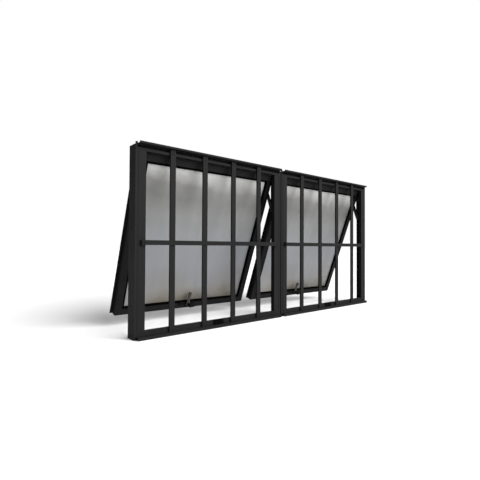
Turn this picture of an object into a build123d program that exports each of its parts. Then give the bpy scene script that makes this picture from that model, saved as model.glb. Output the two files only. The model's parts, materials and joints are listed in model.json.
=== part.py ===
"""Twin top-hung projecting window with inside security grille, shown with both sashes open.

Two equal aluminium units stand side by side.  In each, the sash hangs on two friction stays:
a shoe slides down a track in the jamb while an arm swings out, so the sash leans outwards.
Millimetres.  +X along the window, +Y to the outside, +Z up.  The origin is the centre of the
seat under the sill, in the middle of the frame's depth and of the window's length.
"""
import math
import os

from build123d import *

os.makedirs("parts", exist_ok=True)

# Whole window
unit_width = 628.0
unit_height = 600.0
unit_gap = 4.0            # between the two units, filled by the coupling strip

# Frame profiles
wall = 1.8
frame_depth = 44.0        # jamb depth, from the inside face to the outside
leg_depth = 14.0          # hollow front leg that covers the sash edge
jamb_face = 35.0
jamb_web = 9.0            # hollow outer part of the jamb
jamb_flange = 7.0         # strip of the jamb that runs past the ends of head and sill
head_face = 26.0
head_band = 9.0           # lower, flush part of the head's face
head_step = 7.0           # the rear of the frame is this much lower than the head's lip
sill_face = 25.0
sill_web = 8.0
lip_reach = 15.0          # head and sill lips stand this far into the room
lip_plate = 2.0
head_lip = 6.5
sill_lip = 10.0
score = 1.0               # depth and half width of the line along each profile's face

# Sash
sash_depth = 23.0
sash_face = 27.0
sash_box = 19.0           # hollow part of the sash profile
sash_wall = 1.6
sash_side_gap = 25.5      # jamb's outer edge to the sash, room for the stays
sash_top_gap = 4.0
sash_bottom_gap = 10.0
flange_play = 0.5         # outer edge of each stile, over the gap that holds the stay, to the shoe
flange_end = 6.0          # flange below the sash's top edge
glazing_lip = 3.0
gasket_thickness = 3.5
gasket_show = 4.5         # rubber seen beyond the glazing lip
glass_thickness = 4.0
glass_edge_gap = 2.0

# Friction stays
open_angle = 20.5         # the pose that is modelled
open_limit = 45.0
stay_arm = 70.0           # between the pins, and from the sash's top pin to the arm's pin
stay_pin_drop = 12.0      # top pin below the sash's top edge
pin_radius = 3.0
pin_play = 0.05
rivet_head_radius = 5.0
rivet_head = 1.3
track_base = 1.5
track_height = 4.5
track_width = 22.0
shoe_height = 6.5
shoe_length = 26.0
shoe_play = 0.3
arm_start = 16.5          # arm's face, from the jamb's outer edge
arm_thickness = 3.0
arm_play = 1.9            # arm's edge to the stile's flange
sash_bar = 3.0            # bar on the stile that carries both sash pins
sash_bar_play = 0.9       # bar's edge to the stile's flange
sash_bar_tail = 16.0      # bar beyond the arm's pin

# Grille
bars_per_unit = 4
bar_width = 19.0
bar_thickness = 6.0
bar_end_gap = 0.2
crossbar_height = 15.0
crossbar_cover = 4.0      # crossbar in front of the upright bars
crossbar_centre = 294.0
crossbar_inset = 19.0
crossbar_screw_inset = 27.0
notch_play = 0.3
grille_rivet_radius = 2.0
grille_rivet_head = 1.2

# Handle and keeper
handle_height = 20.5      # spindle above the sash's bottom edge
handle_plate_width = 74.0
handle_plate_height = 12.0
handle_plate = 4.0
handle_screw_spacing = 56.0
handle_screw_radius = 2.0
spindle_radius = 4.5
hub_radius = 7.0
lever_length = 45.0       # spindle to the centre of the round end
lever_thickness = 6.0
lever_tab = 4.0           # raised finger end
lever_gap = 1.6           # plate to lever, so that the lever passes over the screw heads
boss_radius = 6.0         # neck that carries the tongue
tongue_length = 22.0      # spindle to the tip that shuts the window
tongue_width = 10.0
tongue_thickness = 5.0
latch_play = 0.4          # tongue in front of the keeper, and behind the cap on the spindle
keeper_width = 42.0
keeper_height = 16.5
keeper_depth = 4.0
keeper_base = 2.0         # depth left behind the slot
keeper_slot = 6.0
keeper_round = 1.5

# Seal, coupling and wall fixing
seal_width = 6.0
seal_play = 0.3
fixing_radius = 2.75
fixing_first = 100.0      # lowest hole
fixing_foot_gap = 95.0    # top hole below the stay's foot rivet
fixing_count = 2
coupling_screw_radius = 2.5
coupling_head_radius = 4.5
coupling_head = 2.0
coupling_inset = 2.0
coupling_shift = -30.0     # coupling screws from the level of the wall fixings

# Levels through the depth (Y)
face_y = -frame_depth / 2
rear_y = frame_depth / 2
leg_back = face_y + leg_depth
lip_y = face_y - lip_reach
sash_half = sash_depth / 2
sash_inner_y = rear_y - sash_depth
pivot_y = rear_y - sash_half
fixing_y = (leg_back + rear_y) / 2

# Room for the stays behind the stiles' flanges
sash_flange = sash_side_gap - jamb_web - shoe_height - flange_play
flange_back = sash_half - sash_wall
arm_width = 2 * (flange_back - arm_play)
sash_bar_width = 2 * (flange_back - sash_bar_play)

# Heights (Z)
head_low = unit_height - head_face
head_web_low = unit_height - head_step - lip_plate
sash_top = head_web_low - sash_top_gap
sash_bottom = sill_web + sash_bottom_gap
sash_height = sash_top - sash_bottom
shoe_closed_z = sash_top - stay_pin_drop
arm_foot_z = shoe_closed_z - 2 * stay_arm
shoe_z = arm_foot_z + 2 * stay_arm * math.cos(math.radians(open_angle))
seal_top = arm_foot_z + 2 * stay_arm * math.cos(math.radians(open_limit)) - 2 * stay_pin_drop
fixing_spacing = (arm_foot_z - fixing_foot_gap - fixing_first) / (fixing_count - 1)
lean_cos = math.cos(math.radians(open_angle))
lean_sin = math.sin(math.radians(open_angle))

# Along the sash, measured from the top pin
top_v = stay_pin_drop
bottom_v = stay_pin_drop - sash_height
handle_v = bottom_v + handle_height

# The sash leans out below its top pin, the arm leans out above its foot.  In the sash's planes,
# u runs through its thickness to the outside and v runs up along it.
sash_across = Plane((0, pivot_y, shoe_z), x_dir=(0, lean_cos, lean_sin), z_dir=(1, 0, 0))
sash_along = Plane((0, pivot_y, shoe_z), x_dir=(1, 0, 0), z_dir=(0, -lean_sin, lean_cos))
sash_front = Plane((0, pivot_y, shoe_z), x_dir=(1, 0, 0), z_dir=(0, -lean_cos, -lean_sin))
arm_across = Plane((0, pivot_y, arm_foot_z), x_dir=(0, lean_cos, -lean_sin), z_dir=(1, 0, 0))

unit_starts = {"unit1": -unit_gap / 2 - unit_width, "unit2": unit_gap / 2}
hands = ("left", "right")
wall_sides = (("unit1", "left"), ("unit2", "right"))


def fixing_centres(shift=0.0):
    """Places of the fixing holes in the jamb's depth and height."""
    return [(fixing_y, fixing_first + shift + number * fixing_spacing)
            for number in range(fixing_count)]


def patch(a0, a1, b0, b1, mode=Mode.ADD):
    """Rectangle between two corners of the current sketch."""
    with Locations(((a0 + a1) / 2, (b0 + b1) / 2)):
        Rectangle(abs(a1 - a0), abs(b1 - b0), mode=mode)


def tube(a0, a1, b0, b1, thickness):
    """Hollow rectangle between two corners of the current sketch."""
    patch(a0, a1, b0, b1)
    patch(a0 + thickness, a1 - thickness, b0 + thickness, b1 - thickness, mode=Mode.SUBTRACT)


def span(start, hand, near, far):
    """X range of something that lies near..far from the outer edge of one of a unit's jambs."""
    if hand == "left":
        return start + near, start + far
    return start + unit_width - far, start + unit_width - near


def disc(plane, low, high, centre, radius, mode=Mode.ADD):
    """Round pin along the plane's normal between two offsets."""
    with BuildSketch(plane.offset(low)) as profile:
        with Locations(centre):
            Circle(radius)
    extrude(profile.sketch, amount=high - low, mode=mode)


def save(piece, name):
    piece.part.label = name
    export_step(piece.part, f"parts/{name}.step")


# ---------------------------------------------------------------- fixed frame

def head(start):
    """Top profile: lip, shaded recess, flush band over a hollow leg, and the rear web."""
    with BuildPart() as piece:
        with BuildSketch(Plane.YZ.offset(start + jamb_flange)):
            patch(lip_y, lip_y + lip_plate, unit_height - head_lip, unit_height)
            patch(lip_y, face_y + wall, unit_height - head_lip, unit_height - head_lip + lip_plate)
            patch(leg_back - wall, leg_back, head_low, head_web_low + lip_plate)
            patch(face_y, leg_back, head_web_low, head_web_low + lip_plate)
            patch(face_y, face_y + wall, head_web_low, unit_height - head_lip + lip_plate)
            tube(face_y, leg_back, head_low, head_low + head_band, wall)
            patch(leg_back, rear_y, head_web_low, head_web_low + lip_plate)
            patch(rear_y - wall, rear_y, head_web_low - wall, head_web_low)
            patch(face_y, face_y + wall, head_low + head_band, head_web_low, mode=Mode.SUBTRACT)
        extrude(amount=unit_width - 2 * jamb_flange)
        for end in (start + jamb_flange, start + unit_width - jamb_web):
            with BuildSketch(Plane.YZ.offset(end)):
                patch(leg_back, rear_y, head_low, head_web_low)
            extrude(amount=jamb_web - jamb_flange, mode=Mode.SUBTRACT)
    return piece


def sill(start):
    """Bottom profile: lip with a ledge, hollow leg with a score line, and the hollow rear web."""
    with BuildPart() as piece:
        with BuildSketch(Plane.YZ.offset(start + jamb_flange)):
            patch(lip_y, lip_y + lip_plate, 0, sill_lip)
            patch(lip_y, face_y + wall, sill_lip - lip_plate, sill_lip)
            tube(face_y, leg_back, 0, sill_face, wall)
            tube(leg_back - wall, rear_y, 0, sill_web, wall)
            score_z = (sill_lip + sill_face) / 2
            patch(face_y, face_y + score, score_z - score, score_z + score, mode=Mode.SUBTRACT)
        extrude(amount=unit_width - 2 * jamb_flange)
    return piece


def jamb(start, hand, holes):
    """Side profile: L of two hollow boxes; its outer strip runs the full height of the window."""
    with BuildPart() as piece:
        with BuildSketch(Plane.XY):
            leg = span(start, hand, 0, jamb_face)
            web = span(start, hand, 0, jamb_web)
            mark = span(start, hand, jamb_flange + score, jamb_flange + 3 * score)
            tube(*leg, face_y, leg_back, wall)
            tube(*web, leg_back - wall, rear_y, wall)
            patch(*mark, face_y, face_y + score, mode=Mode.SUBTRACT)
        extrude(amount=unit_height)
        inner = span(start, hand, jamb_flange, jamb_face)
        outer = span(start, hand, 0, jamb_face)
        for low, high in ((0, sill_face), (head_low, unit_height)):
            with BuildSketch(Plane.XY.offset(low)):
                patch(*inner, face_y, leg_back)
            extrude(amount=high - low, mode=Mode.SUBTRACT)
        for low, high in ((0, sill_web), (head_web_low, unit_height)):
            with BuildSketch(Plane.XY.offset(low)):
                patch(*inner, leg_back, rear_y)
            extrude(amount=high - low, mode=Mode.SUBTRACT)
        with BuildSketch(Plane.XY.offset(unit_height - head_step)):
            patch(*outer, face_y + wall, rear_y)
        extrude(amount=head_step, mode=Mode.SUBTRACT)
        for centre in holes:
            disc(Plane.YZ, *web, centre, fixing_radius, mode=Mode.SUBTRACT)
    return piece


def frame_seal(start):
    """Rubber strip behind the front leg, along the sill and the lower part of both jambs."""
    low = sash_bottom + seal_play
    high = min(low + seal_width, sill_face)
    with BuildPart() as piece:
        for hand in hands:
            strip = span(start, hand, jamb_face - 2 - seal_width, jamb_face - 2)
            with BuildSketch(Plane.XY.offset(low)):
                patch(*strip, leg_back, sash_inner_y - seal_play)
            extrude(amount=seal_top - low)
        with BuildSketch(Plane.YZ.offset(start + jamb_face - 2)):
            patch(leg_back, sash_inner_y - seal_play, low, high)
        extrude(amount=unit_width - 2 * (jamb_face - 2))
    return piece


# ---------------------------------------------------------------- grille

def bar_centres(start):
    step = unit_width / (bars_per_unit + 1)
    return [start + step * number for number in range(1, bars_per_unit + 1)]


bar_low = sill_lip + bar_end_gap
bar_high = unit_height - head_lip - bar_end_gap
bar_rivet_heights = ((sill_lip + sill_face) / 2 + 2, head_low + head_band / 2)


def grille_bar(centre):
    """Flat upright bar between the lips, riveted to the head and the sill."""
    with BuildPart() as piece:
        with BuildSketch(Plane.XY.offset(bar_low)):
            patch(centre - bar_width / 2, centre + bar_width / 2, face_y - bar_thickness, face_y)
        extrude(amount=bar_high - bar_low)
        for height in bar_rivet_heights:
            disc(Plane.XZ, -face_y, -face_y + bar_thickness, (centre, height),
                 grille_rivet_radius + pin_play, mode=Mode.SUBTRACT)
    return piece


def crossbar_screws(start):
    return [start + crossbar_screw_inset, start + unit_width - crossbar_screw_inset]


def grille_crossbar(start):
    """Horizontal bar, notched over the upright bars and screwed to both jambs."""
    front = -face_y + bar_thickness + crossbar_cover
    low = crossbar_centre - crossbar_height / 2
    notch = bar_width / 2 + notch_play
    with BuildPart() as piece:
        with BuildSketch(Plane.XY.offset(low)):
            patch(start + crossbar_inset, start + unit_width - crossbar_inset, -front, face_y)
            for centre in bar_centres(start):
                patch(centre - notch, centre + notch, face_y - bar_thickness, face_y,
                      mode=Mode.SUBTRACT)
        extrude(amount=crossbar_height)
        for x in crossbar_screws(start):
            disc(Plane.XZ, -face_y, front, (x, crossbar_centre),
                 grille_rivet_radius + pin_play, mode=Mode.SUBTRACT)
    return piece


def rivet(centre, low, high):
    """Shank and domed head along the depth, the head towards the room."""
    disc(Plane.XZ, low, high, centre, grille_rivet_radius)
    with BuildSketch(Plane.XZ.offset(high)) as dome:
        with Locations(centre):
            Circle(2 * grille_rivet_radius)
    extrude(dome.sketch, amount=grille_rivet_head, taper=35)


def grille_rivets():
    """Every rivet and screw of both grilles."""
    bar_front = -face_y + bar_thickness
    with BuildPart() as piece:
        for start in unit_starts.values():
            for x in bar_centres(start):
                for height in bar_rivet_heights:
                    rivet((x, height), -face_y, bar_front)
            for x in crossbar_screws(start):
                rivet((x, crossbar_centre), -face_y, bar_front + crossbar_cover)
    return piece


# ---------------------------------------------------------------- sash

def sash_span(start):
    return start + sash_side_gap, start + unit_width - sash_side_gap


def mitre(outline):
    """Keep what is inside an outline drawn on the sash's face."""
    with BuildSketch(sash_front.offset(-sash_half)) as face:
        Polygon(*outline, align=None)
    extrude(face.sketch, amount=sash_depth, mode=Mode.INTERSECT)


def sash_section(edge, inward, across):
    """Hollow box with the glazing lip.  across(depth, depth, run, run) orders the corners."""
    across(-sash_half, sash_half, edge, edge + inward * sash_box)
    across(-sash_half + sash_wall, sash_half - sash_wall, edge + inward * sash_wall,
           edge + inward * (sash_box - sash_wall), mode=Mode.SUBTRACT)
    across(-sash_half, -sash_half + glazing_lip, edge + inward * sash_box,
           edge + inward * sash_face)


def turned_patch(a0, a1, b0, b1, mode=Mode.ADD):
    patch(b0, b1, a0, a1, mode=mode)


def sash_rail(start, edge, inward):
    x0, x1 = sash_span(start)
    tip = edge + inward * sash_face
    with BuildPart() as piece:
        with BuildSketch(sash_across.offset(x0)):
            sash_section(edge, inward, patch)
        extrude(amount=x1 - x0)
        mitre([(x0, edge), (x1, edge), (x1 - sash_face, tip), (x0 + sash_face, tip)])
    return piece


def sash_stile(start, hand):
    x0, x1 = sash_span(start)
    edge, inward = (x0, 1) if hand == "left" else (x1, -1)
    tip = edge + inward * sash_face
    brim = edge - inward * sash_flange
    with BuildPart() as piece:
        with BuildSketch(sash_along.offset(bottom_v)):
            sash_section(edge, inward, turned_patch)
            turned_patch(flange_back, sash_half, brim, edge)
        extrude(amount=sash_height)
        mitre([(brim, bottom_v), (edge, bottom_v), (tip, bottom_v + sash_face),
               (tip, top_v - sash_face), (edge, top_v), (edge, top_v - flange_end),
               (brim, top_v - flange_end)])
    return piece


gasket_u = -sash_half + glazing_lip
glass_u = gasket_u + gasket_thickness
bead_u = glass_u + glass_thickness


def pane(start, inset, low_u, high_u, hole_inset=None):
    """Rectangular sheet in the sash, inset from its outer edge, or a ring down to hole_inset."""
    x0, x1 = sash_span(start)
    with BuildPart() as piece:
        with BuildSketch(sash_front.offset(-high_u)):
            patch(x0 + inset, x1 - inset, bottom_v + inset, top_v - inset)
            if hole_inset is not None:
                patch(x0 + hole_inset, x1 - hole_inset, bottom_v + hole_inset,
                      top_v - hole_inset, mode=Mode.SUBTRACT)
        extrude(amount=high_u - low_u)
    return piece


def glazing_beads(start):
    """Four snap-in beads that hold the glass from the outside."""
    x0, x1 = sash_span(start)
    with BuildPart() as piece:
        with BuildSketch(sash_front.offset(-sash_half)):
            for edge, inward in ((bottom_v, 1), (top_v, -1)):
                patch(x0 + sash_box, x1 - sash_box, edge + inward * sash_box,
                      edge + inward * sash_face)
        extrude(amount=sash_half - bead_u)
        with BuildSketch(sash_front.offset(-sash_half)):
            for edge, inward in ((x0, 1), (x1, -1)):
                patch(edge + inward * sash_box, edge + inward * sash_face,
                      bottom_v + sash_face + pin_play, top_v - sash_face - pin_play)
        extrude(amount=sash_half - bead_u)
    return piece


# ---------------------------------------------------------------- friction stays

arm_end = arm_start + arm_thickness
bar_start = sash_side_gap - sash_bar
track_end = jamb_web + track_height


def stay_tracks(start):
    """Channel on each jamb in which the shoe slides; the arm is riveted to its foot."""
    low = arm_foot_z - rivet_head_radius - track_base
    high = head_web_low - 2 * wall
    half = track_width / 2
    with BuildPart() as piece:
        for hand in hands:
            base = span(start, hand, jamb_web, jamb_web + track_base)
            side = span(start, hand, jamb_web, track_end)
            with BuildSketch(Plane.XY.offset(low)):
                patch(*base, pivot_y - half, pivot_y + half)
                patch(*side, pivot_y - half, pivot_y - half + track_base)
                patch(*side, pivot_y + half - track_base, pivot_y + half)
            extrude(amount=high - low)
            disc(Plane.YZ, *base, (pivot_y, arm_foot_z), pin_radius + pin_play,
                 mode=Mode.SUBTRACT)
    return piece


def stay_shoe(start, hand):
    """Nylon block in the track, with the hole for the sash's top pin."""
    width = track_width - 2 * track_base - 2 * shoe_play
    x0, x1 = span(start, hand, jamb_web + track_base + shoe_play, jamb_web + shoe_height)
    with BuildPart() as piece:
        with BuildSketch(Plane.YZ.offset(x0)):
            with Locations((pivot_y, shoe_z)):
                RectangleRounded(width, shoe_length, width / 6)
                Circle(pin_radius + pin_play, mode=Mode.SUBTRACT)
        extrude(amount=x1 - x0)
    return piece


def stay_arm_bar(start, hand):
    x0, x1 = span(start, hand, arm_start, arm_end)
    with BuildPart() as piece:
        with BuildSketch(arm_across.offset(x0)):
            with Locations((0, stay_arm / 2)):
                SlotCenterToCenter(stay_arm, arm_width, rotation=90)
            with Locations((0, 0), (0, stay_arm)):
                Circle(pin_radius + pin_play, mode=Mode.SUBTRACT)
        extrude(amount=x1 - x0)
    return piece


def stay_foot_rivets():
    """Rivets that hold the arms to the tracks, in both units."""
    with BuildPart() as piece:
        for start in unit_starts.values():
            for hand in hands:
                shank = span(start, hand, jamb_web, arm_end + shoe_play)
                cap = span(start, hand, arm_end + shoe_play, arm_end + shoe_play + rivet_head)
                disc(Plane.YZ, *shank, (pivot_y, arm_foot_z), pin_radius)
                disc(Plane.YZ, *cap, (pivot_y, arm_foot_z), rivet_head_radius)
    return piece


def stay_sash_bars(start):
    """Flat bar on the outside of each stile, pierced for the two sash pins."""
    half = sash_bar_width / 2
    with BuildPart() as piece:
        for hand in hands:
            x0, x1 = span(start, hand, bar_start, sash_side_gap)
            with BuildSketch(sash_across.offset(x0)):
                patch(-half, half, -stay_arm - sash_bar_tail, stay_pin_drop - 2)
                with Locations((0, 0), (0, -stay_arm)):
                    Circle(pin_radius + pin_play, mode=Mode.SUBTRACT)
            extrude(amount=x1 - x0)
    return piece


def stay_sash_pins(start):
    """Top pins through the shoes, and headed pins through the arms' upper ends."""
    with BuildPart() as piece:
        for hand in hands:
            shoe_pin = span(start, hand, jamb_web + track_base + shoe_play, sash_side_gap)
            arm_pin = span(start, hand, arm_start - shoe_play, sash_side_gap)
            arm_cap = span(start, hand, arm_start - shoe_play - rivet_head, arm_start - shoe_play)
            disc(sash_across, *shoe_pin, (0, 0), pin_radius)
            disc(sash_across, *arm_pin, (0, -stay_arm), pin_radius)
            disc(sash_across, *arm_cap, (0, -stay_arm), rivet_head_radius)
    return piece


# ---------------------------------------------------------------- handle and keeper

plate_front = sash_half + handle_plate
lever_back = plate_front + lever_gap
lever_front = lever_back + lever_thickness
tongue_back = pivot_y - face_y + keeper_depth + latch_play
tongue_front = tongue_back + tongue_thickness
spindle_end = tongue_front + latch_play


def handle_points(start):
    middle = start + unit_width / 2
    half = handle_screw_spacing / 2
    return (middle, handle_v), [(middle - half, handle_v), (middle + half, handle_v)]


def handle_base(start):
    """Rounded plate on the bottom rail with the spindle that carries the lever."""
    centre, screws = handle_points(start)
    with BuildPart() as piece:
        with BuildSketch(sash_front.offset(sash_half)):
            with Locations(centre):
                RectangleRounded(handle_plate_width, handle_plate_height,
                                 handle_plate_height / 3)
        extrude(amount=handle_plate)
        chamfer(piece.faces().sort_by(Axis.Y)[0].edges(), 1.0)
        disc(sash_front, plate_front - 1, spindle_end, centre, spindle_radius)
        for point in screws:
            disc(sash_front, sash_half, plate_front, point, handle_screw_radius + pin_play,
                 mode=Mode.SUBTRACT)
    return piece


def handle_lever(start):
    """Lever with a tongue on its neck; the lever turned sideways shuts the tongue on the keeper."""
    (x, v), _ = handle_points(start)
    with BuildPart() as piece:
        with BuildSketch(sash_front.offset(lever_back)):
            with Locations((x, v + lever_length / 2)):
                SlotCenterToCenter(lever_length, 2 * hub_radius, rotation=90)
        extrude(amount=lever_thickness)
        with BuildSketch(sash_front.offset(lever_front)):
            with Locations((x, v + lever_length)):
                Circle(hub_radius)
        extrude(amount=lever_tab, taper=12)
        disc(sash_front, lever_front, tongue_front, (x, v), boss_radius)
        with BuildSketch(sash_front.offset(tongue_back)):
            patch(x, x + tongue_length, v - tongue_width / 2, v + tongue_width / 2)
        extrude(amount=tongue_thickness)
        disc(sash_front, lever_back, tongue_front, (x, v), spindle_radius + pin_play,
             mode=Mode.SUBTRACT)
    return piece


def handle_screws(start):
    """Two screws through the plate and the one that keeps the lever on its spindle."""
    centre, screws = handle_points(start)
    with BuildPart() as piece:
        for point in screws:
            disc(sash_front, sash_half, plate_front, point, handle_screw_radius)
            disc(sash_front, plate_front, plate_front + grille_rivet_head, point,
                 2 * handle_screw_radius)
        disc(sash_front, spindle_end, spindle_end + grille_rivet_head, centre,
             (spindle_radius + boss_radius) / 2)
    return piece


def keeper(start):
    """Slotted block on the sill's face, above its lip, that holds back the lever's tongue."""
    middle = start + unit_width / 2
    half = keeper_width / 2
    front = face_y - keeper_depth
    with BuildPart() as piece:
        with BuildSketch(Plane.XY.offset(sill_lip)):
            patch(middle - half, middle + half, front, face_y)
            patch(middle - keeper_slot / 2, middle + keeper_slot / 2, front,
                  face_y - keeper_base, mode=Mode.SUBTRACT)
        extrude(amount=keeper_height)
        fillet(piece.edges().filter_by(Axis.X).group_by(Axis.Z)[-1].group_by(Axis.Y)[0],
               keeper_round)
    return piece


# ---------------------------------------------------------------- coupling of the two units

def coupling_strip():
    """Strip between the two units, set back from their inside and outside faces."""
    with BuildPart() as piece:
        with BuildSketch(Plane.XY):
            patch(-unit_gap / 2, unit_gap / 2, face_y + coupling_inset, rear_y - coupling_inset)
        extrude(amount=unit_height - head_step)
        for centre in fixing_centres(coupling_shift):
            disc(Plane.YZ, -unit_gap / 2, unit_gap / 2, centre, fixing_radius,
                 mode=Mode.SUBTRACT)
    return piece


def coupling_screws():
    """Screws through both middle jambs and the strip, with a head and a nut in the rebates."""
    reach = unit_gap / 2 + jamb_web
    with BuildPart() as piece:
        for centre in fixing_centres(coupling_shift):
            disc(Plane.YZ, -reach, reach, centre, coupling_screw_radius)
            disc(Plane.YZ, -reach - coupling_head, -reach, centre, coupling_head_radius)
            disc(Plane.YZ, reach, reach + coupling_head, centre, coupling_head_radius)
    return piece


# ---------------------------------------------------------------- all pieces

for unit, start in unit_starts.items():
    save(head(start), f"{unit}_head")
    save(sill(start), f"{unit}_sill")
    save(frame_seal(start), f"{unit}_frame_seal")
    for number, centre in enumerate(bar_centres(start), 1):
        save(grille_bar(centre), f"{unit}_grille_bar_{number}")
    save(grille_crossbar(start), f"{unit}_grille_crossbar")
    save(sash_rail(start, top_v, -1), f"{unit}_sash_top_rail")
    save(sash_rail(start, bottom_v, 1), f"{unit}_sash_bottom_rail")
    save(pane(start, sash_box + glass_edge_gap, glass_u, bead_u), f"{unit}_glass")
    save(pane(start, sash_box + glass_edge_gap, gasket_u, glass_u, sash_face + gasket_show),
         f"{unit}_glazing_gasket")
    save(glazing_beads(start), f"{unit}_glazing_beads")
    save(stay_tracks(start), f"{unit}_stay_tracks")
    save(stay_sash_bars(start), f"{unit}_stay_sash_bars")
    save(stay_sash_pins(start), f"{unit}_stay_sash_pins")
    save(handle_base(start), f"{unit}_handle_base")
    save(handle_lever(start), f"{unit}_handle_lever")
    save(handle_screws(start), f"{unit}_handle_screws")
    save(keeper(start), f"{unit}_keeper")
    for hand in hands:
        shift = 0.0 if (unit, hand) in wall_sides else coupling_shift
        save(jamb(start, hand, fixing_centres(shift)), f"{unit}_jamb_{hand}")
        save(sash_stile(start, hand), f"{unit}_sash_stile_{hand}")
        save(stay_arm_bar(start, hand), f"{unit}_stay_arm_{hand}")
        save(stay_shoe(start, hand), f"{unit}_stay_shoe_{hand}")

save(grille_rivets(), "grille_rivets")
save(stay_foot_rivets(), "stay_foot_rivets")
save(coupling_strip(), "coupling_strip")
save(coupling_screws(), "coupling_screws")
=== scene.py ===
"""Looks of the twin top-hung window: materials, turned and swept details, light and camera.

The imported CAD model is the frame.  Metres, +X along the window, +Y to the outside, +Z up.
"""
import json
import math

import bmesh
import bpy
from mathutils import Matrix, Vector


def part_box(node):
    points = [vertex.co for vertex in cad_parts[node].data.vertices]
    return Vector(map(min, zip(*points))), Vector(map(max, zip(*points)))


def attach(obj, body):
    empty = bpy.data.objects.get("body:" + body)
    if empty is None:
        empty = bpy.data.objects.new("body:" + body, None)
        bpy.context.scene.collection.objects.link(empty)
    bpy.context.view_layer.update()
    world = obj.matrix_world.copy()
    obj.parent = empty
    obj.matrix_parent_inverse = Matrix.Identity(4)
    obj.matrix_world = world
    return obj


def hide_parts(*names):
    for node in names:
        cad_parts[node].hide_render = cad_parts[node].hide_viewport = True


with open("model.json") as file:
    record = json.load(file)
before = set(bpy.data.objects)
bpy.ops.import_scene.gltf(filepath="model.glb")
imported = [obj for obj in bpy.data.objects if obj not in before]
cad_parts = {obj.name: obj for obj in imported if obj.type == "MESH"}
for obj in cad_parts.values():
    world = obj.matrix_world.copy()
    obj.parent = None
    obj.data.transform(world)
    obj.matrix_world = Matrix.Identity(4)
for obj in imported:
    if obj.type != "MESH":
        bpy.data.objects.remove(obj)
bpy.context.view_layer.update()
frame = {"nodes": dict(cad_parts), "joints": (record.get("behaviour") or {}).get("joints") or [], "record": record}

NODES = frame["nodes"]
JOINTS = {joint["name"]: joint for joint in frame["joints"]}
UNITS = ("unit1", "unit2")
MM = 0.001

# Sizes of the part that its boxes don't give
GLAZING_LIP = 3.0 * MM
GASKET_SHOW = 4.5 * MM      # rubber seen beyond the glazing lip
GASKET_FLAP = 3.5 * MM      # rubber laid over the glazing lip
SEAL_WIDTH = 6.0 * MM
LEVER_THICKNESS = 6.0 * MM
HUB_RADIUS = 7.0 * MM
BOSS_RADIUS = 6.0 * MM
TONGUE_HALF = 5.0 * MM
TONGUE_THICKNESS = 5.0 * MM
HANDLE_PLATE = 4.0 * MM
SCREW_RADIUS = 4.0 * MM
SCREW_HEAD = 1.2 * MM
RIVET_HEAD = 1.2 * MM
COUPLING_HEAD = 2.0 * MM
HEXAGON = 6


# ---------------------------------------------------------------- the sash's own directions

def sash_axes(unit):
    """Top pin in the middle of the sash, outward direction and direction up along the sash."""
    outward = Vector(JOINTS[f"{unit}_handle_turn"]["axis"]).normalized()
    upward = Vector((0, -outward.z, outward.y))
    left = Vector(JOINTS[f"{unit}_shoe_left_turn"]["pos_m"])
    right = Vector(JOINTS[f"{unit}_shoe_right_turn"]["pos_m"])
    return (left + right) / 2, outward, upward


# ---------------------------------------------------------------- material building

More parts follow.
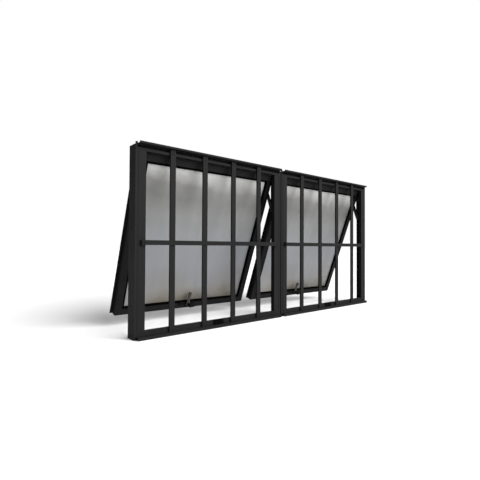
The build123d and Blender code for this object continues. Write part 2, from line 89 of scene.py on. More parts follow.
class Shader:
    """A material's node tree, built from short calls."""

    def __init__(self, name):
        self.material = bpy.data.materials.new(name)
        self.material.use_nodes = True
        self.tree = self.material.node_tree
        self.tree.nodes.clear()
        self.output = self.add("ShaderNodeOutputMaterial")
        self.surface = self.add("ShaderNodeBsdfPrincipled")
        self.link(self.surface.outputs["BSDF"], self.output.inputs["Surface"])
        self.place = self.add("ShaderNodeTexCoord").outputs["Object"]

    def add(self, kind, **settings):
        node = self.tree.nodes.new(kind)
        for key, value in settings.items():
            setattr(node, key, value)
        return node

    def link(self, source, target):
        self.tree.links.new(source, target)

    def feed(self, socket, value):
        """Link a socket, or set it to a plain value."""
        if isinstance(value, bpy.types.NodeSocket):
            self.link(value, socket)
        else:
            socket.default_value = value

    def math(self, operation, a, b=0.0, clamp=False):
        node = self.add("ShaderNodeMath", operation=operation, use_clamp=clamp)
        self.feed(node.inputs[0], a)
        self.feed(node.inputs[1], b)
        return node.outputs[0]

    def noise(self, scale, detail=3.0, roughness=0.5, vector=None, distortion=0.0):
        node = self.add("ShaderNodeTexNoise")
        self.link(vector or self.place, node.inputs["Vector"])
        node.inputs["Scale"].default_value = scale
        node.inputs["Detail"].default_value = detail
        node.inputs["Roughness"].default_value = roughness
        node.inputs["Distortion"].default_value = distortion
        return node.outputs["Fac"]

    def stretched(self, scale):
        node = self.add("ShaderNodeMapping")
        self.link(self.place, node.inputs["Vector"])
        node.inputs["Scale"].default_value = scale
        return node.outputs["Vector"]

    def spread(self, value, low, high, to_low=0.0, to_high=1.0):
        node = self.add("ShaderNodeMapRange")
        node.clamp = True
        self.feed(node.inputs["Value"], value)
        node.inputs["From Min"].default_value = low
        node.inputs["From Max"].default_value = high
        node.inputs["To Min"].default_value = to_low
        node.inputs["To Max"].default_value = to_high
        return node.outputs["Result"]

    def mix(self, factor, a, b, blend="MIX"):
        node = self.add("ShaderNodeMix", data_type="RGBA", blend_type=blend)
        self.feed(node.inputs["Factor"], factor)
        self.feed(node.inputs["A"], a)
        self.feed(node.inputs["B"], b)
        return node.outputs["Result"]

    def bump(self, height, strength, distance, normal=None):
        node = self.add("ShaderNodeBump")
        node.inputs["Strength"].default_value = strength
        node.inputs["Distance"].default_value = distance
        self.link(height, node.inputs["Height"])
        if normal is not None:
            self.link(normal, node.inputs["Normal"])
        return node.outputs["Normal"]

    def edges(self, radius):
        """1 along sharp edges, 0 on flat faces."""
        bevel = self.add("ShaderNodeBevel", samples=4)
        bevel.inputs["Radius"].default_value = radius
        true = self.add("ShaderNodeNewGeometry").outputs["Normal"]
        dot = self.add("ShaderNodeVectorMath", operation="DOT_PRODUCT")
        self.link(bevel.outputs["Normal"], dot.inputs[0])
        self.link(true, dot.inputs[1])
        return self.spread(dot.outputs["Value"], 0.99, 0.8)

    def set(self, **values):
        for key, value in values.items():
            self.feed(self.surface.inputs[key.replace("_", " ")], value)


def grey(value, warm=0.0):
    return (value * (1 + warm), value, value * (1 - warm), 1.0)


def powder_coat(name, tone, dust=0.05, seed=0.0):
    """Matte black powder coat: fine orange peel, slow tone changes, edges lightened by rubbing and by a painted
    highlight, a little dust.
    """
    s = Shader(name)
    shift = s.add("ShaderNodeVectorMath", operation="ADD")
    s.link(s.place, shift.inputs[0])
    shift.inputs[1].default_value = (seed, 2 * seed, -seed)
    slow = s.noise(7.0, 4.0, 0.6, vector=shift.outputs[0])
    fine = s.noise(900.0, 2.0)
    body = s.mix(s.spread(slow, 0.35, 0.65), grey(tone * 0.88), grey(tone * 1.12))
    body = s.mix(s.spread(fine, 0.55, 0.75, 0.0, 0.35), body, grey(tone * 1.7))
    # Edge mask: rubbed wear and a painted highlight where edges catch the light.
    rubbed_and_lit_edges = s.math("MULTIPLY", s.edges(0.0011), s.spread(s.noise(60.0, 3.0), 0.4, 0.62))
    body = s.mix(s.math("MULTIPLY", rubbed_and_lit_edges, 0.5), body, grey(tone * 2.6))
    up = s.add("ShaderNodeSeparateXYZ")
    s.link(s.add("ShaderNodeNewGeometry").outputs["Normal"], up.inputs[0])
    settled = s.spread(up.outputs["Z"], 0.6, 1.0)
    patchy = s.math("MULTIPLY", settled, s.spread(s.noise(45.0, 5.0, 0.7), 0.4, 0.7, 0.0, dust * 4))
    body = s.mix(patchy, body, grey(0.06, 0.04))
    s.set(Base_Color=body, Metallic=0.0)
    s.surface.inputs["Specular IOR Level"].default_value = 0.06
    rough = s.math("ADD", s.spread(slow, 0.3, 0.7, 0.54, 0.66), s.spread(fine, 0.3, 0.7, -0.04, 0.04))
    s.set(Roughness=s.math("SUBTRACT", rough, s.math("MULTIPLY", rubbed_and_lit_edges, 0.1)))
    s.set(Normal=s.bump(s.noise(1600.0, 2.0), 0.12, 0.0002, s.bump(s.noise(350.0, 2.0), 0.06, 0.0004)))
    return s.material


def rubber(name, tone):
    s = Shader(name)
    slow = s.noise(25.0, 4.0, 0.6)
    bloom = s.spread(s.noise(120.0, 5.0, 0.7), 0.5, 0.75, 0.0, 0.5)
    body = s.mix(s.spread(slow, 0.35, 0.65), grey(tone * 0.8), grey(tone * 1.2))
    s.set(Base_Color=s.mix(bloom, body, grey(tone * 2.2, 0.03)))
    s.surface.inputs["Specular IOR Level"].default_value = 0.01
    s.set(Roughness=s.spread(slow, 0.3, 0.7, 0.62, 0.8))
    s.set(Normal=s.bump(s.noise(1500.0, 3.0), 0.15, 0.0002))
    return s.material


def steel(name, tone, metallic, rough, along=(40, 40, 1500), warm=0.0):
    """Rolled or turned metal with fine lines, darker handling marks, and edges lightened by wear and by a painted
    highlight.
    """
    s = Shader(name)
    lines = s.noise(1.0, 4.0, 0.7, vector=s.stretched(along))
    slow = s.noise(30.0, 4.0, 0.6)
    body = s.mix(s.spread(lines, 0.3, 0.7), grey(tone * 0.8, warm), grey(tone * 1.2, warm))
    body = s.mix(s.spread(slow, 0.5, 0.72, 0.0, 0.5), body, grey(tone * 0.55, warm))
    # Edges lightened: wear and a painted highlight.
    worn_and_lit_edges = s.math("MULTIPLY", s.edges(0.0008), 0.45)
    body = s.mix(worn_and_lit_edges, body, grey(min(1.0, tone * 2.2), warm))
    s.set(Base_Color=body, Metallic=metallic)
    s.set(Roughness=s.math("ADD", s.spread(slow, 0.3, 0.7, rough - 0.06, rough + 0.08),
                           s.spread(lines, 0.3, 0.7, -0.04, 0.04)))
    s.set(Normal=s.bump(lines, 0.1, 0.0001))
    return s.material


def plastic(name, tone, rough, shine=0.12):
    s = Shader(name)
    slow = s.noise(35.0, 4.0, 0.6)
    spark = s.noise(1300.0, 2.0)
    body = s.mix(s.spread(slow, 0.35, 0.65), grey(tone * 0.8), grey(tone * 1.25))
    # Edges lightened: partly wear, partly a painted highlight.
    body = s.mix(s.math("MULTIPLY", s.edges(0.0006), 0.35), body, grey(tone * 3))
    s.set(Base_Color=body)
    s.surface.inputs["Specular IOR Level"].default_value = shine
    s.set(Roughness=s.spread(slow, 0.3, 0.7, rough - 0.05, rough + 0.08))
    s.set(Normal=s.bump(spark, 0.15, 0.0002))
    return s.material


def obscured_glass(name, unit):
    """Rolled obscured glass: fine relief, and a painted grey cast of reflection and light through the pane that
    changes down the pane.
    """
    s = Shader(name)
    pin, outward, upward = sash_axes(unit)
    low, high = pane_reach(unit)
    moved = s.add("ShaderNodeVectorMath", operation="SUBTRACT")
    s.link(s.place, moved.inputs[0])
    moved.inputs[1].default_value = pin
    rise = s.add("ShaderNodeVectorMath", operation="DOT_PRODUCT")
    s.link(moved.outputs[0], rise.inputs[0])
    rise.inputs[1].default_value = upward
    along = s.add("ShaderNodeSeparateXYZ")
    s.link(moved.outputs[0], along.inputs[0])
    flat = s.add("ShaderNodeCombineXYZ")
    s.link(along.outputs["X"], flat.inputs["X"])
    s.link(rise.outputs["Value"], flat.inputs["Y"])
    clouds = s.noise(5.0, 5.0, 0.55, vector=flat.outputs[0], distortion=0.4)
    streak = s.add("ShaderNodeMapping")
    s.link(flat.outputs[0], streak.inputs["Vector"])
    streak.inputs["Scale"].default_value = (14.0, 2.2, 1.0)
    streak.inputs["Rotation"].default_value = (0.0, 0.0, -0.2)
    streaks = s.noise(1.0, 4.0, 0.6, vector=streak.outputs["Vector"])
    height = s.spread(rise.outputs["Value"], low, high)
    wander = s.math("ADD", height, s.spread(clouds, 0.2, 0.8, -0.07, 0.07))
    # Darker and browner at the foot of the pane, more towards +X.
    darker_foot = s.math("MULTIPLY", s.spread(along.outputs["X"], -0.15, 0.25, 0.0, 0.06),
                   s.spread(height, 0.0, 0.3, 1.0, 0.0))
    wander = s.math("SUBTRACT", wander, darker_foot)
    # Painted reflection and light through the pane: the grey changes down the pane, dark and brown at the foot, a
    # darker band near the top, lighter at the very top.
    ramp = s.add("ShaderNodeValToRGB")
    s.link(wander, ramp.inputs["Fac"])
    stops = ((0.00, (0.085, 0.074, 0.055)), (0.05, (0.15, 0.138, 0.115)), (0.12, (0.20, 0.197, 0.192)),
             (0.30, (0.215, 0.22, 0.232)), (0.50, (0.205, 0.212, 0.218)), (0.66, (0.19, 0.193, 0.188)),
             (0.78, (0.125, 0.125, 0.118)), (0.87, (0.15, 0.147, 0.14)), (0.945, (0.33, 0.327, 0.318)),
             (1.00, (0.42, 0.42, 0.41)))
    bar = ramp.color_ramp
    while len(bar.elements) < len(stops):
        bar.elements.new(0.5)
    for element, (at, colour) in zip(bar.elements, stops):
        element.position = at
        element.color = (*colour, 1.0)
    body = s.mix(s.spread(streaks, 0.32, 0.68, 0.0, 0.5), ramp.outputs["Color"], (0.70, 0.70, 0.705, 1),
                 blend="MULTIPLY")
    # Lighter blotches: painted reflection.
    body = s.mix(s.spread(clouds, 0.52, 0.75, 0.0, 0.4), body, (0.27, 0.275, 0.285, 1.0))
    cool = s.spread(s.noise(4.0, 2.0, 0.5, vector=flat.outputs[0]), 0.45, 0.6, 0.0, 0.5)
    body = s.mix(s.math("MULTIPLY", cool, s.spread(height, 0.75, 0.4)), body, (0.93, 0.985, 1.07, 1.0),
                 blend="MULTIPLY")
    cells = s.add("ShaderNodeTexVoronoi", feature="SMOOTH_F1")
    s.link(s.place, cells.inputs["Vector"])
    cells.inputs["Scale"].default_value = 260.0
    relief = cells.outputs["Distance"]
    body = s.mix(s.spread(relief, 0.1, 0.7, 0.0, 0.22), body, (0.16, 0.16, 0.165, 1.0))
    s.set(Base_Color=body, Metallic=0.0)
    s.surface.inputs["Transmission Weight"].default_value = 0.12
    s.surface.inputs["IOR"].default_value = 1.5
    s.set(Roughness=s.spread(clouds, 0.3, 0.7, 0.28, 0.42))
    s.set(Normal=s.bump(relief, 0.35, 0.0005, s.bump(clouds, 0.05, 0.004)))
    return s.material


def pane_reach(unit):
    """Lowest and highest edge of the pane along the sash, from the top pin."""
    pin, outward, upward = sash_axes(unit)
    rises = [(vertex.co - pin).dot(upward) for vertex in NODES[f"{unit}_glass"].data.vertices]
    return min(rises), max(rises)


# ---------------------------------------------------------------- finishes on the CAD nodes

FINISH = {
    "frame_profile": powder_coat("coat_frame", 0.0062),
    "sash_profile": powder_coat("coat_sash", 0.0062, seed=3.1),
    "grille_bar": powder_coat("coat_grille", 0.0062, seed=7.7),
    "rubber_seal": rubber("seal_rubber", 0.0004),
    "stay_steel": steel("stay_dark_steel", 0.04, 0.6, 0.45),
    "shoe_nylon": plastic("shoe_nylon_black", 0.012, 0.5),
    "handle_black": plastic("handle_satin_black", 0.0015, 0.45, shine=0.05),
    "lever_grey": steel("lever_bronze", 0.019, 0.1, 0.5, along=(700, 60, 60), warm=0.14),
    "keeper_black": plastic("keeper_moulded", 0.0006, 0.6, shine=0.02),
    "fixing_black": powder_coat("coat_heads", 0.006, seed=5.3),
    "fixing_steel": steel("fixing_zinc", 0.22, 0.8, 0.38),
}
GLASS = {unit: obscured_glass(f"glass_{unit}", unit) for unit in UNITS}
SLOTS = {part["node"]: part["material_slot"] for part in frame["record"]["subparts"]}


def finish_of(node):
    if node.endswith("_glass"):
        return GLASS[node.split("_")[0]]
    return FINISH[SLOTS[node]]


for node, thing in NODES.items():
    for slot in thing.material_slots:
        slot.material = finish_of(node)


# ---------------------------------------------------------------- mesh building

SHARP = math.radians(38)


def make_piece(name, mesh, finish, body):
    """Turn a finished bmesh into a piece that rides on a body, in a finish."""
    bmesh.ops.recalc_face_normals(mesh, faces=mesh.faces)
    for face in mesh.faces:
        face.smooth = True
    for edge in mesh.edges:
        if len(edge.link_faces) == 2 and edge.calc_face_angle() > SHARP:
            edge.smooth = False
    data = bpy.data.meshes.new(name)
    mesh.to_mesh(data)
    mesh.free()
    data.materials.append(finish)
    thing = bpy.data.objects.new(name, data)
    bpy.context.scene.collection.objects.link(thing)
    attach(thing, body)
    return thing


def turn_to(mesh, start, position, direction):
    """Move what was built along +Z from the origin so that it stands at a place, along a direction."""
    turn = Vector(direction).to_track_quat("Z", "Y").to_matrix().to_4x4()
    fresh = [vert for vert in mesh.verts if vert.index == -1 or vert.index >= start]
    bmesh.ops.transform(mesh, matrix=Matrix.Translation(position) @ turn, verts=fresh)


def rings(mesh, outlines, caps=(True, True)):
    """Skin a list of closed outlines with equal numbers of points, capped at either end."""
    rows = [[mesh.verts.new(point) for point in outline] for outline in outlines]
    count = len(rows[0])
    for a, b in zip(rows, rows[1:]):
        for i in range(count):
            j = (i + 1) % count
            mesh.faces.new((a[i], a[j], b[j], b[i]))
    if caps[0]:
        mesh.faces.new(list(reversed(rows[0])))
    if caps[1]:
        mesh.faces.new(rows[-1])


def circle(radius, height, count=28):
    return [(radius * math.cos(2 * math.pi * i / count), radius * math.sin(2 * math.pi * i / count), height)
            for i in range(count)]


def turned(mesh, profile, position, direction, count=28):
    """Lathe a profile of (radius, height) points about a line."""
    start = len(mesh.verts)
    mesh.verts.index_update()
    rings(mesh, [circle(radius, height, count) for radius, height in profile])
    turn_to(mesh, start, position, direction)


def blind_rivet(mesh, position, direction, radius, height, depth):
    """Domed rivet head with the sunk end of its mandrel."""
    r, h = radius, height
    shank = [(0.5 * r, -depth), (0.5 * r, 0)]
    dome = [(r, 0), (r, 0.18 * h), (0.93 * r, 0.45 * h), (0.78 * r, 0.75 * h), (0.55 * r, 0.95 * h)]
    mandrel = [(0.34 * r, h), (0.28 * r, 0.9 * h), (0.26 * r, 0.45 * h), (0.1 * r, 0.4 * h)]
    turned(mesh, shank + dome + mandrel, position, direction)


def cross_screw(mesh, position, direction, radius, height, depth, spin=0.4):
    """Pan head with a tapered cross recess and a plain shank."""
    start = len(mesh.verts)
    mesh.verts.index_update()
    r, h = radius, height
    count = 24
    profile = [(0.5 * r, -depth), (0.5 * r, 0), (r, 0), (r, 0.25 * h), (0.93 * r, 0.62 * h),
               (0.76 * r, 0.9 * h), (0.6 * r, h)]
    rings(mesh, [circle(wide, high, count) for wide, high in profile], caps=(True, False))
    rim = list(mesh.verts)[-count:]
    long, thin = 0.46 * r, 0.11 * r
    corner = [(long, -thin), (long, thin), (thin, thin)]
    cross = []
    for quarter in range(4):
        c, q = math.cos(math.pi / 2 * quarter), math.sin(math.pi / 2 * quarter)
        cross += [(x * c - y * q, x * q + y * c) for x, y in corner]
    top = [mesh.verts.new((x, y, h)) for x, y in cross]
    foot = [mesh.verts.new((0.72 * x, 0.72 * y, 0.25 * h)) for x, y in cross]
    for i in range(len(top)):
        j = (i + 1) % len(top)
        mesh.faces.new((top[i], top[j], foot[j], foot[i]))
    mesh.faces.new(foot)
    for i in range(count):
        a, b = rim[i], rim[(i + 1) % count]
        near = nearest_point(cross, i + 0.5, count)
        mesh.faces.new((a, b, top[near]))
    for i in range(count):
        here, after = nearest_point(cross, i + 0.5, count), nearest_point(cross, i + 1.5, count)
        step = here
        while step != after:
            following = (step + 1) % len(top)
            mesh.faces.new((rim[(i + 1) % count], top[following], top[step]))
            step = following
    bmesh.ops.transform(mesh, matrix=Matrix.Rotation(spin, 4, "Z"),
                        verts=[vert for vert in mesh.verts if vert.index == -1 or vert.index >= start])
    turn_to(mesh, start, position, direction)


def nearest_point(cross, step, count):
    """Corner of the cross that is next to a step round the rim."""
    angle = 2 * math.pi * step / count
    turns = [math.atan2(y, x) for x, y in cross]
    gaps = [abs((turn - angle + math.pi) % (2 * math.pi) - math.pi) for turn in turns]
    return gaps.index(min(gaps))


def framed(mesh, corners, inwards, profile, place, closed=True):
    """Sweep a profile of (inset, depth) points round mitred corners.

    corners are points (a, b), inwards the direction in which each corner moves with the inset, and
    place turns (a, b, depth) into a point.
    """
    loops = []
    for (a, b), (da, db) in zip(corners, inwards):
        loops.append([mesh.verts.new(place(a + da * inset, b + db * inset, depth))
                      for inset, depth in profile])
    pairs = list(zip(loops, loops[1:] + loops[:1])) if closed else list(zip(loops, loops[1:]))
    count = len(profile)
    for here, after in pairs:
        for i in range(count):
            j = (i + 1) % count
            mesh.faces.new((here[i], here[j], after[j], after[i]))
    if not closed:
        mesh.faces.new(list(reversed(loops[0])))
        mesh.faces.new(loops[-1])


# ---------------------------------------------------------------- softened edges of the CAD nodes

# Bevel in millimetres, by the first of these words that is in a node's name
EDGE_WIDTHS = (("glass", 0.0), ("gasket", 0.0), ("seal", 0.0), ("head", 0.5), ("sill", 0.5), ("jamb", 0.5),
               ("grille_bar", 0.6), ("crossbar", 0.6), ("sash", 0.5), ("beads", 0.6), ("track", 0.3),
               ("stay", 0.4), ("keeper", 0.7), ("handle_base", 0.4), ("coupling_strip", 0.3))


def soften(node, width):
    """Round the edges of a CAD node: merge its corners, join its flat faces, then bevel."""
    thing = NODES[node]
    weld = thing.modifiers.new("weld", "WELD")
    weld.merge_threshold = 0.00001
    flat = thing.modifiers.new("flat", "DECIMATE")
    flat.decimate_type = "DISSOLVE"
    flat.angle_limit = math.radians(1.0)
    bevel = thing.modifiers.new("edge", "BEVEL")
    bevel.width = width * MM
    bevel.segments = 2
    bevel.limit_method = "ANGLE"
    bevel.angle_limit = math.radians(35)
    bevel.harden_normals = False
    even = thing.modifiers.new("even", "WEIGHTED_NORMAL")
    even.keep_sharp = True


for node in NODES:
    for word, width in EDGE_WIDTHS:
        if word in node:
            if width and "pins" not in node and "rivets" not in node:
                soften(node, width)
            break


# ---------------------------------------------------------------- rubber: glazing gasket, frame seal

def local_range(node, pin, outward, upward):
    """Reach of a CAD node along X, outward and up the sash, measured from the top pin."""
    reach = []
    for vertex in NODES[node].data.vertices:
        away = vertex.co - pin
        reach.append((vertex.co.x, away.dot(outward), away.dot(upward)))
    return [(min(values), max(values)) for values in zip(*reach)]


def add_gasket(unit):
    """Wedge gasket with a rounded nose, mitred round the pane, on the room side."""
    pin, outward, upward = sash_axes(unit)
    (x0, x1), (u0, u1), (v0, v1) = local_range(f"{unit}_glazing_gasket", pin, outward, upward)
    stiles = local_range(f"{unit}_sash_stile_left", pin, outward, upward)
    lip = stiles[0][1] - x0
    nose = lip + GASKET_SHOW
    deep = u1 - u0
    front = u0 - GLAZING_LIP
    flap = front - 0.7 * MM
    profile = [(0, u0), (lip + 0.2 * MM, u0), (lip + 0.2 * MM, front), (lip - GASKET_FLAP, front),
               (lip - GASKET_FLAP + 0.5 * MM, flap), (lip + 0.6 * MM, flap),
               (lip + 1.0 * MM, front + 0.4 * MM),
               (nose - 2.4 * MM, u0 + 0.10 * deep), (nose - 1.9 * MM, u0 + 0.02 * deep),
               (nose - 0.8 * MM, u0 + 0.12 * deep), (nose - 0.2 * MM, u0 + 0.38 * deep),
               (nose, u0 + 0.66 * deep),
               (nose - 0.35 * MM, u0 + 0.9 * deep), (nose - 0.8 * MM, u1), (0, u1)]
    middle = Vector((0, pin.y, pin.z))

    def place(x, v, u):
        return Vector((x, 0, 0)) + middle + upward * v + outward * u

    mesh = bmesh.new()
    framed(mesh, [(x0, v0), (x1, v0), (x1, v1), (x0, v1)], [(1, 1), (-1, 1), (-1, -1), (1, -1)],
           profile, place)
    piece = make_piece(f"{unit}_gasket_wedge", mesh, FINISH["rubber_seal"], f"{unit}_sash")
    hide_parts(f"{unit}_glazing_gasket")


def add_frame_seal(unit):
    """Bulb seal behind the front leg: up both jambs and along the sill."""
    low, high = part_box(f"{unit}_frame_seal")
    wide = SEAL_WIDTH
    foot, tip = low.y, high.y
    deep = tip - foot
    shape = [(0.08, 0.0), (0.92, 0.0), (0.84, 0.16), (0.97, 0.36), (0.99, 0.55), (0.9, 0.78), (0.7, 0.94),
             (0.5, 1.0), (0.3, 0.94), (0.1, 0.78), (0.01, 0.55), (0.03, 0.36), (0.16, 0.16)]
    profile = [(wide * a, foot + deep * b) for a, b in shape]
    mesh = bmesh.new()
    framed(mesh, [(low.x, high.z), (low.x, low.z), (high.x, low.z), (high.x, high.z)],
           [(1, 0), (1, 1), (-1, 1), (-1, 0)], profile, lambda x, z, y: Vector((x, y, z)), closed=False)
    piece = make_piece(f"{unit}_bulb_seal", mesh, FINISH["rubber_seal"], "frame")
    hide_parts(f"{unit}_frame_seal")


for unit in UNITS:
    add_gasket(unit)
    add_frame_seal(unit)


# ---------------------------------------------------------------- handle

# Lever from its hub to its finger end: part of the length, of the half width, and of the thickness
# at its back and at its front
LEVER_ROWS = (
    (0.000, 0.30, 0.15, 0.75), (0.010, 0.58, 0.05, 0.90), (0.035, 0.84, 0.0, 1.0),
    (0.08, 0.98, 0.0, 1.0), (0.13, 1.00, 0.0, 1.0), (0.19, 0.98, 0.0, 1.0),
    (0.26, 0.92, 0.0, 0.98), (0.34, 0.84, 0.02, 0.94), (0.46, 0.80, 0.04, 0.92),
    (0.58, 0.82, 0.04, 0.96), (0.70, 0.90, 0.04, 1.12), (0.79, 0.96, 0.04, 1.38),
    (0.87, 0.99, 0.05, 1.56), (0.925, 0.98, 0.08, 1.64), (0.965, 0.90, 0.14, 1.62),
    (0.988, 0.72, 0.3, 1.52), (1.000, 0.40, 0.5, 1.35))
# Tongue from its root to its tip: part of the length, of the half width and of the thickness
TONGUE_ROWS = ((0.0, 1.0, 1.0), (0.35, 1.0, 1.0), (0.6, 0.94, 1.0), (0.78, 0.84, 0.96), (0.9, 0.68, 0.86),
               (0.97, 0.46, 0.7), (1.0, 0.2, 0.45))


def squared(turn, power=0.55):
    """Point on a rounded square."""
    c, q = math.cos(turn), math.sin(turn)
    return math.copysign(abs(c) ** power, c), math.copysign(abs(q) ** power, q)


def add_lever(unit):
    """Cast lever: round hub, waisted blade and thick finger end, with a neck and a tongue in front."""
    pin, outward, upward = sash_axes(unit)
    (x0, x1), (u0, u1), (v0, v1) = local_range(f"{unit}_handle_lever", pin, outward, upward)
    base = Vector((x0 + HUB_RADIUS, pin.y, pin.z))
    count = 24
    turns = [2 * math.pi * i / count for i in range(count)]
    blade = []
    for along, wide, back, front in LEVER_ROWS:
        level = base + upward * (v0 + (v1 - v0) * along)
        near, far = u1 - LEVER_THICKNESS * back, u1 - LEVER_THICKNESS * front
        points = []
        for turn in turns:
            c, q = squared(turn)
            points.append(level + Vector((HUB_RADIUS * wide * c, 0, 0))
                          + outward * ((near + far) / 2 + (near - far) / 2 * q))
        blade.append(points)
    spindle = base + upward * (v0 + HUB_RADIUS)
    tongue = []
    reach = x1 - spindle.x
    for along, wide, thick in TONGUE_ROWS:
        points = []
        for turn in turns:
            c, q = squared(turn, 0.4)
            points.append(spindle + Vector((reach * along, 0, 0)) + upward * (TONGUE_HALF * wide * c)
                          + outward * (u0 + TONGUE_THICKNESS / 2 * (1 + thick * q)))
        tongue.append(points)
    mesh = bmesh.new()
    rings(mesh, blade)
    piece = make_piece(f"{unit}_lever_cast", mesh, FINISH["lever_grey"], f"{unit}_lever")
    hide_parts(f"{unit}_handle_lever")
    mesh = bmesh.new()
    rings(mesh, tongue)
    top, foot = -u0, -u1 + LEVER_THICKNESS / 2
    neck = top - foot
    slim = 0.9 * BOSS_RADIUS
    profile = [(BOSS_RADIUS, foot), (BOSS_RADIUS, foot + 0.28 * neck), (slim, foot + 0.36 * neck),
               (slim, foot + 0.62 * neck), (BOSS_RADIUS, foot + 0.7 * neck),
               (BOSS_RADIUS, top - 0.6 * MM), (slim, top)]
    turned(mesh, profile, spindle, -outward)
    piece = make_piece(f"{unit}_lever_tongue", mesh, FINISH["handle_black"], f"{unit}_lever")
    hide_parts(f"{unit}_handle_lever")


def add_handle_screws(unit):
    """Cross-head screws of the plate and the domed cap that keeps the lever."""
    pin, outward, upward = sash_axes(unit)
    (x0, x1), (u0, u1), (v0, v1) = local_range(f"{unit}_handle_screws", pin, outward, upward)
    level = Vector((0, pin.y, pin.z)) + upward * (v0 + v1) / 2
    plate = level + outward * (u1 - HANDLE_PLATE)
    mesh = bmesh.new()
    for x, spin in ((x0 + SCREW_RADIUS, 0.4), (x1 - SCREW_RADIUS, 1.1)):
        cross_screw(mesh, Vector((x, 0, 0)) + plate, -outward, SCREW_RADIUS, SCREW_HEAD, HANDLE_PLATE, spin)
    r, h = (v1 - v0) / 2, SCREW_HEAD
    middle = Vector(((x0 + x1) / 2, 0, 0)) + level + outward * (u0 + h)
    turned(mesh, [(r, 0), (r, 0.2 * h), (0.9 * r, 0.55 * h), (0.7 * r, 0.83 * h), (0.4 * r, 0.97 * h),
                  (0.1 * r, h)], middle, -outward)
    piece = make_piece(f"{unit}_handle_screw_heads", mesh, FINISH["handle_black"], f"{unit}_sash")
    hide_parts(f"{unit}_handle_screws")


for unit in UNITS:
    add_lever(unit)
    add_handle_screws(unit)


# ---------------------------------------------------------------- rivets and screws of the grille

def islands(node):
    """Lowest and highest corner of each separate solid in a CAD node."""
    data = NODES[node].data
    home = list(range(len(data.vertices)))
    seen = {}

    def root(i):
        while home[i] != i:
            home[i] = home[home[i]]
            i = home[i]
        return i

    for vertex in data.vertices:
        key = tuple(round(c * 1e6) for c in vertex.co)
        if key in seen:
            home[root(vertex.index)] = root(seen[key])
        seen[key] = vertex.index
    for edge in data.edges:
        a, b = edge.vertices
        home[root(a)] = root(b)
    groups = {}
    for vertex in data.vertices:
        groups.setdefault(root(vertex.index), []).append(vertex.co)
    boxes = []
    for points in groups.values():
        boxes.append((Vector([min(p[k] for p in points) for k in range(3)]),
                      Vector([max(p[k] for p in points) for k in range(3)])))
    return sorted(boxes, key=lambda box: (round(box[0].z, 4), box[0].x))


def add_grille_heads():
    """Blind rivets through the bars, cross-head screws at the ends of the crossbars."""
    room = Vector((0, -1, 0))
    front = min(low.y for low, high in islands("grille_rivets"))
    mesh = bmesh.new()
    for number, (low, high) in enumerate(islands("grille_rivets")):
        middle = Vector(((low.x + high.x) / 2, low.y + RIVET_HEAD, (low.z + high.z) / 2))
        radius = (high.x - low.x) / 2
        depth = high.y - low.y - RIVET_HEAD
        if low.y < front + 1e-4:
            cross_screw(mesh, middle, room, radius, RIVET_HEAD, depth, 0.3 + 0.7 * number)
        else:
            blind_rivet(mesh, middle, room, radius, RIVET_HEAD, depth)
    piece = make_piece("grille_heads", mesh, FINISH["fixing_black"], "frame")
    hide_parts("grille_rivets")


def add_coupling_heads():
    """Hexagon head, washer and nut of each screw that joins the two middle jambs."""
    mesh = bmesh.new()
    for low, high in islands("coupling_screws"):
        middle = (low + high) / 2
        radius = (high.z - low.z) / 2
        for side, end in ((-1, low.x), (1, high.x)):
            seat = Vector((end - side * COUPLING_HEAD, middle.y, middle.z))
            out = Vector((side, 0, 0))
            h, washer, corner = COUPLING_HEAD, 0.22 * COUPLING_HEAD, 0.86 * radius
            turned(mesh, [(0.5 * radius, 0), (radius, 0), (radius, washer), (0.5 * radius, washer)],
                   seat, out)
            start = len(mesh.verts)
            mesh.verts.index_update()
            profile = [(corner, washer), (corner, 0.86 * h), (0.88 * corner, h)]
            rings(mesh, [circle(wide, high, HEXAGON) for wide, high in profile])
            turn_to(mesh, start, seat, out)
        turned(mesh, [(0.45 * radius, 0), (0.45 * radius, high.x - low.x - 2.2 * COUPLING_HEAD)],
               Vector((low.x + 1.1 * COUPLING_HEAD, middle.y, middle.z)), Vector((1, 0, 0)))
    piece = make_piece("coupling_bolts", mesh, FINISH["fixing_steel"], "frame")
    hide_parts("coupling_screws")


add_grille_heads()
add_coupling_heads()


# ---------------------------------------------------------------- stage, light and camera

FLOOR_REACH = 60.0
PAPER = 0.9
GLOW = 0.4
KEY_FROM = (0.34, -0.85, 0.46)
KEY_STRENGTH = 7.0
KEY_SPREAD = 60


def add_floor():
    """Plain pale floor."""
    corners = [(-FLOOR_REACH, -FLOOR_REACH), (FLOOR_REACH, -FLOOR_REACH), (FLOOR_REACH, FLOOR_REACH),
               (-FLOOR_REACH, FLOOR_REACH)]
    mesh = bmesh.new()
    mesh.faces.new([mesh.verts.new((x, y, 0)) for x, y in corners])
    data = bpy.data.meshes.new("studio_floor")
    mesh.to_mesh(data)
    mesh.free()
    floor = bpy.data.objects.new("studio_floor", data)
    bpy.context.scene.collection.objects.link(floor)
    s = Shader("studio_paper")
    s.set(Base_Color=grey(PAPER), Roughness=1.0)
    s.surface.inputs["Specular IOR Level"].default_value = 0.0
    data.materials.append(s.material)


def add_sun(name, towards, strength, spread):
    """Soft directional light that comes from a direction."""
    lamp = bpy.data.lights.new(name, "SUN")
    lamp.energy = strength
    lamp.angle = math.radians(spread)
    thing = bpy.data.objects.new(name, lamp)
    thing.matrix_world = Vector(towards).to_track_quat("Z", "Y").to_matrix().to_4x4()
    bpy.context.scene.collection.objects.link(thing)


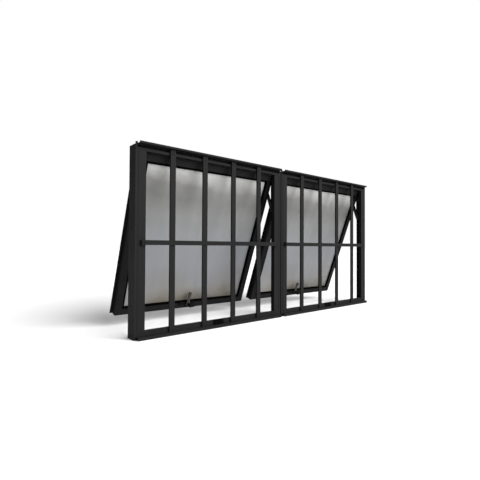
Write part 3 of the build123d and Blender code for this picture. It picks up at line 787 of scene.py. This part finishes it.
def add_world():
    """White paper round the object; it lights the object more softly than it looks."""
    world = bpy.data.worlds.new("studio")
    world.use_nodes = True
    tree = world.node_tree
    tree.nodes.clear()
    output = tree.nodes.new("ShaderNodeOutputWorld")
    blend = tree.nodes.new("ShaderNodeMixShader")
    paper = tree.nodes.new("ShaderNodeBackground")
    glow = tree.nodes.new("ShaderNodeBackground")
    ray = tree.nodes.new("ShaderNodeLightPath")
    paper.inputs["Color"].default_value = (1.0, 1.0, 1.0, 1.0)
    paper.inputs["Strength"].default_value = 1.0
    glow.inputs["Color"].default_value = (1.0, 1.0, 1.0, 1.0)
    glow.inputs["Strength"].default_value = GLOW
    tree.links.new(ray.outputs["Is Camera Ray"], blend.inputs["Fac"])
    tree.links.new(glow.outputs["Background"], blend.inputs[1])
    tree.links.new(paper.outputs["Background"], blend.inputs[2])
    tree.links.new(blend.outputs["Shader"], output.inputs["Surface"])
    bpy.context.scene.world = world


# Viewing angle of the photograph: yaw towards +X from +Y, pitch up, roll; focal length in pixels
VIEW_YAW, VIEW_PITCH, VIEW_ROLL = (math.radians(a) for a in (40.08, 1.05, 0.31))
VIEW_FROM = (-1.1005, -1.0708, 0.2826)
VIEW_FOCAL = 369.2
PICTURE = 480


def add_camera():
    lens = bpy.data.cameras.new("view")
    lens.sensor_width = 36.0
    lens.lens = VIEW_FOCAL * lens.sensor_width / PICTURE
    lens.clip_start = 0.01
    ahead = Vector((math.sin(VIEW_YAW) * math.cos(VIEW_PITCH), math.cos(VIEW_YAW) * math.cos(VIEW_PITCH),
                    math.sin(VIEW_PITCH)))
    right = Vector((math.cos(VIEW_YAW), -math.sin(VIEW_YAW), 0.0))
    up = right.cross(ahead)
    tilted_right = right * math.cos(VIEW_ROLL) + up * math.sin(VIEW_ROLL)
    tilted_up = up * math.cos(VIEW_ROLL) - right * math.sin(VIEW_ROLL)
    turn = Matrix((tilted_right, tilted_up, -ahead)).transposed().to_4x4()
    camera = bpy.data.objects.new("view", lens)
    camera.matrix_world = Matrix.Translation(VIEW_FROM) @ turn
    bpy.context.scene.collection.objects.link(camera)
    bpy.context.scene.camera = camera


add_floor()
add_world()
add_sun("key", KEY_FROM, KEY_STRENGTH, KEY_SPREAD)
add_camera()
bpy.context.scene.view_settings.view_transform = "Standard"
